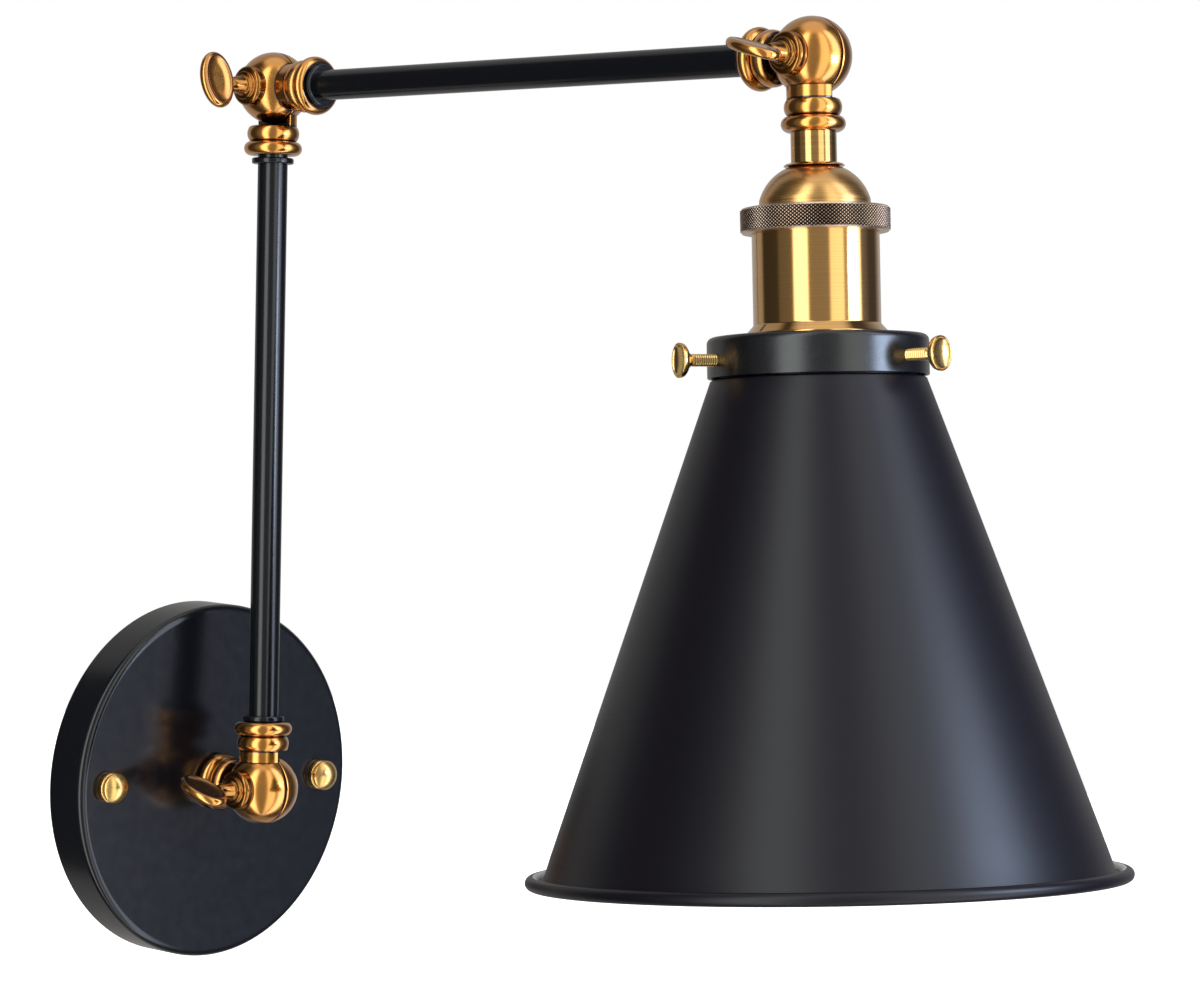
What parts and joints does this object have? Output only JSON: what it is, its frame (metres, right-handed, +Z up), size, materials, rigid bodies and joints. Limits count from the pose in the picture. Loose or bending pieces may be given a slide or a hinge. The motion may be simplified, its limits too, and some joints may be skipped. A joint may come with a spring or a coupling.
{
  "type": "swing arm wall lamp",
  "caption": "Wall lamp with a round wall plate, tube arms on lockable ball knuckles with wing screws, and a cone shade under a screw lampholder.",
  "frame": {"origin": "middle of the wall plate, in the plane of the wall", "axes": "+Y into the wall, so the lamp reaches out along -Y; +Z up; +X to the right of someone who faces the wall"},
  "size_m": [0.18, 0.3756, 0.3166],
  "materials": {
    "black_coat": "satin black coat on steel",
    "antique_brass": "golden brown antique brass, polished, darker in the grooves",
    "lampholder_brass": "lathe-brushed brass",
    "dark_brass": "knurled brass with dark grooves",
    "polished_brass": "polished brass",
    "plain_brass": "plain brass",
    "zinc_steel": "zinc-plated steel",
    "washer_plastic": "dark plastic washer",
    "black_plastic": "black plastic",
    "porcelain": "white glaze"
  },
  "bodies": {
    "base": {"wall_plate": "black_coat", "mounting_bracket": "zinc_steel", "bracket_studs": "zinc_steel", "stud_nuts": "zinc_steel", "cap_nuts": "polished_brass", "earth_screw": "plain_brass", "stem_nipple": "zinc_steel", "stem_tooth_washer": "zinc_steel", "stem_nut": "zinc_steel", "lower_knuckle_wall_half": "antique_brass", "lower_friction_washer": "washer_plastic"},
    "lower_arm": {"lower_knuckle_arm_half": "antique_brass", "lower_arm_tube": "black_coat", "lower_arm_lock_rings": "black_coat"},
    "elbow": {"elbow_knuckle_lower_half": "antique_brass", "elbow_friction_washer": "washer_plastic"},
    "upper_arm": {"elbow_knuckle_upper_half": "antique_brass", "upper_arm_tube": "black_coat", "upper_arm_lock_rings": "black_coat", "head_knuckle_arm_half": "antique_brass", "head_friction_washer": "washer_plastic"},
    "head": {"head_knuckle_lamp_half": "antique_brass", "lamp_nipple": "zinc_steel", "lamp_nut": "zinc_steel", "stem_sleeve": "lampholder_brass", "sleeve_washer": "lampholder_brass", "lampholder_cap": "lampholder_brass", "knurled_ring": "dark_brass", "lampholder_shell": "lampholder_brass", "lampholder_liner": "porcelain", "lampholder_core": "porcelain", "screw_shell": "plain_brass", "centre_contact": "plain_brass", "terminal_screws": "plain_brass", "shade_fitter": "black_coat", "shade_ring": "black_plastic", "shade": "black_coat"},
    "lower_wing": {"lower_wing_screw": "antique_brass"},
    "elbow_wing": {"elbow_wing_screw": "antique_brass"},
    "head_wing": {"head_wing_screw": "antique_brass"},
    "front_thumbscrew": {"thumbscrew_front": "polished_brass"},
    "left_thumbscrew": {"thumbscrew_left": "polished_brass"},
    "right_thumbscrew": {"thumbscrew_right": "polished_brass"}
  },
  "joints": [
    {"name": "lower_pivot", "type": "hinge", "parent": "base", "child": "lower_arm", "pos_m": [0, -0.0386, 0], "axis": [1, 0, 0], "range_deg": [-3.5, 90]},
    {"name": "arm_swing", "type": "hinge", "parent": "lower_arm", "child": "elbow", "pos_m": [0, -0.02794, 0.23476], "axis": [0, 0.0454, 0.999], "range_deg": [-70, 70]},
    {"name": "elbow_pivot", "type": "hinge", "parent": "elbow", "child": "upper_arm", "pos_m": [0, -0.02794, 0.23476], "axis": [1, 0, 0], "range_deg": [-85, 22]},
    {"name": "head_pivot", "type": "hinge", "parent": "upper_arm", "child": "head", "pos_m": [0, -0.26273, 0.2446], "axis": [-1, 0, 0], "range_deg": [-25, 120]},
    {"name": "lower_wing_turn", "type": "hinge", "parent": "base", "child": "lower_wing", "pos_m": [0, -0.0386, 0], "axis": [-1, 0, 0], "range_deg": [-10, 180]},
    {"name": "elbow_wing_turn", "type": "hinge", "parent": "elbow", "child": "elbow_wing", "pos_m": [0, -0.02794, 0.23476], "axis": [-1, 0, 0], "range_deg": [-10, 180]},
    {"name": "head_wing_turn", "type": "hinge", "parent": "upper_arm", "child": "head_wing", "pos_m": [0, -0.26273, 0.2446], "axis": [-1, 0, 0], "range_deg": [-10, 180]},
    {"name": "front_thumbscrew_turn", "type": "hinge", "parent": "head", "child": "front_thumbscrew", "pos_m": [0.00212, -0.30917, 0.15815], "axis": [0.0558, -0.9938, 0.0957], "range_deg": [-15, 360]},
    {"name": "left_thumbscrew_turn", "type": "hinge", "parent": "head", "child": "left_thumbscrew", "pos_m": [-0.03392, -0.25435, 0.15287], "axis": [-0.8926, 0.4488, -0.0432], "range_deg": [-15, 360]},
    {"name": "right_thumbscrew_turn", "type": "hinge", "parent": "head", "child": "right_thumbscrew", "pos_m": [0.0318, -0.2507, 0.15252], "axis": [0.8368, 0.545, -0.0525], "range_deg": [-15, 360]}
  ]
}
